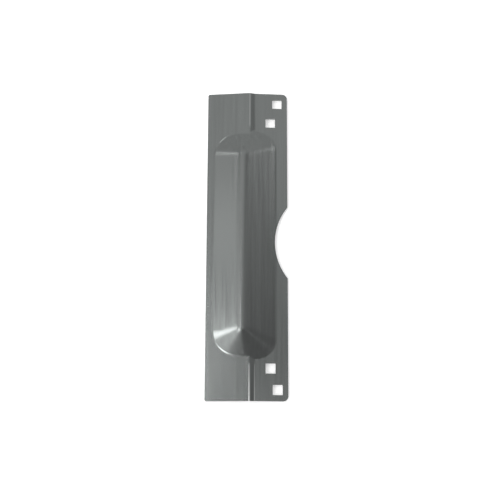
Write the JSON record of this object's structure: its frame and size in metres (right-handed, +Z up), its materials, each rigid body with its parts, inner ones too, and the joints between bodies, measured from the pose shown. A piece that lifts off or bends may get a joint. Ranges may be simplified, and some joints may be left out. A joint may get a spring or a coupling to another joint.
{
  "type": "latch protector plate",
  "caption": "Pressed steel plate with a hollow ridge, a stepped flange with square bolt holes and a curved notch; bolted to a door, it covers the latch and the strike.",
  "frame": {"origin": "middle of the plate's length and width, on the surface that it lies on", "axes": "+X across the plate from the wing to the flange, +Y along the plate, +Z up out of its face"},
  "size_m": [0.0762, 0.2954, 0.0192],
  "materials": {
    "satin_steel": "satin, with fine lengthwise grain"
  },
  "bodies": {
    "root": {"latch_protector_plate": "satin_steel"}
  },
  "joints": []
}
